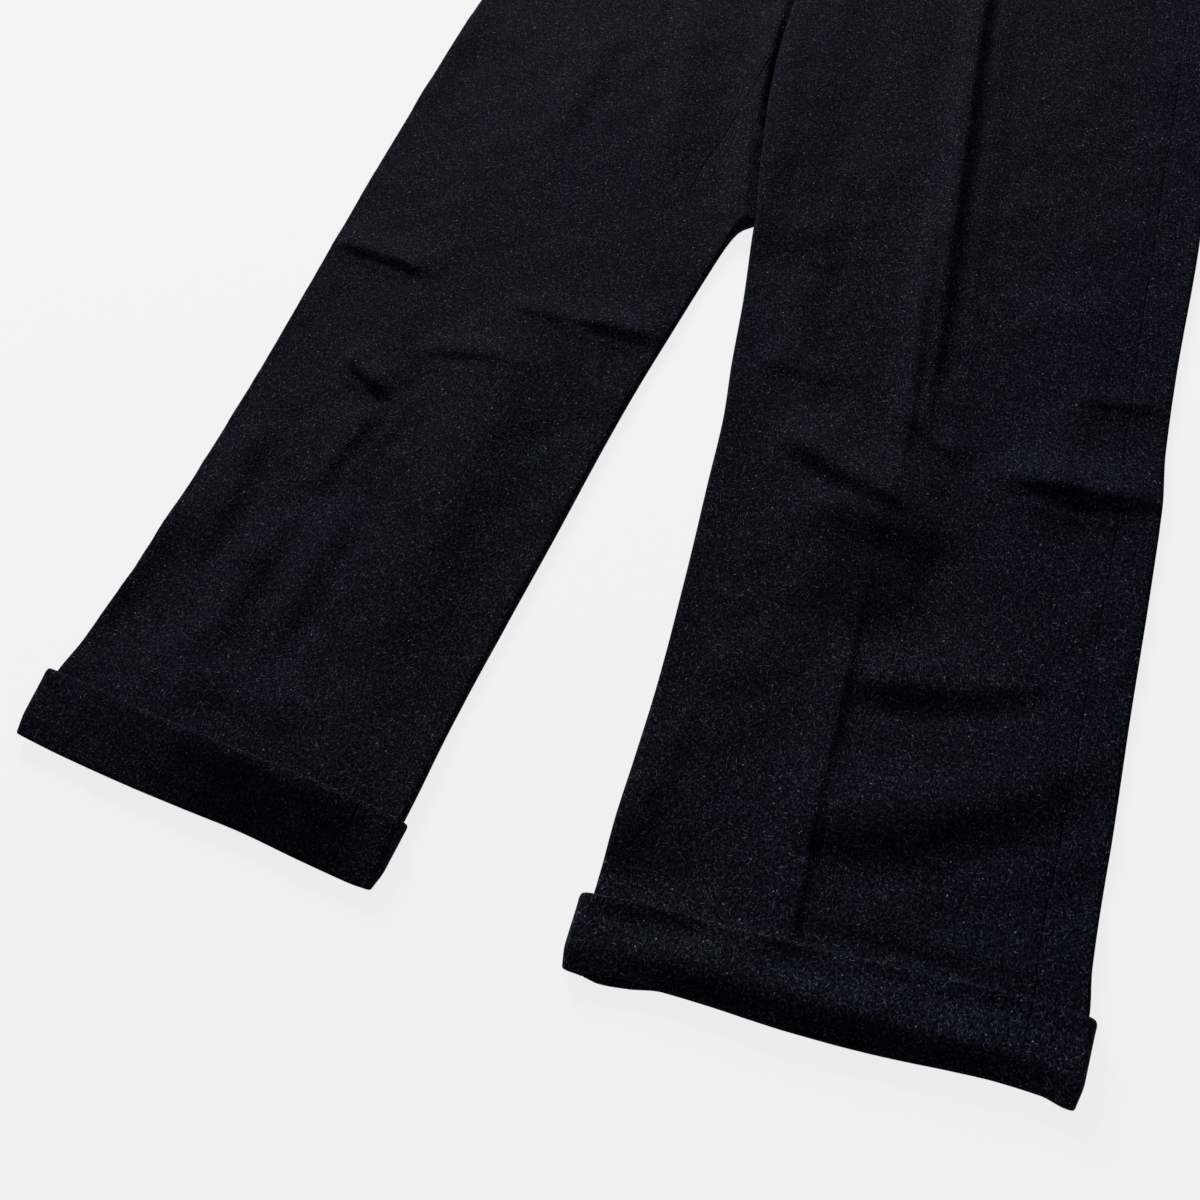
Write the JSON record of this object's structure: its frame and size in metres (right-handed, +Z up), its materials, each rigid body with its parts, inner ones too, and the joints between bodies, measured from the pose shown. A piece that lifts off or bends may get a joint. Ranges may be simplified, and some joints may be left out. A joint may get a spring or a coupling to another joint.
{
  "type": "wool trousers",
  "caption": "Wide straight wool trousers with turn-ups, pressed pleats and a buttoned waistband, laid flat on their back with soft folds at the knees.",
  "frame": {"origin": "middle of the box's underside, on the surface that the trousers lie on", "axes": "+X towards the wearer's left, +Y from the hems to the waist, +Z up out of the front of the trousers"},
  "size_m": [0.6924, 1.038, 0.0128],
  "materials": {
    "wool": "brushed charcoal navy melange wool, soft nap, no gloss",
    "button": "dark horn-like button, satin"
  },
  "bodies": {
    "root": {"left_front": "wool", "left_back": "wool", "right_front": "wool", "right_back": "wool", "left_front_turnup": "wool", "left_back_turnup": "wool", "right_front_turnup": "wool", "right_back_turnup": "wool", "waistband_left": "wool", "waistband_right": "wool", "waist_button": "button"}
  },
  "joints": []
}
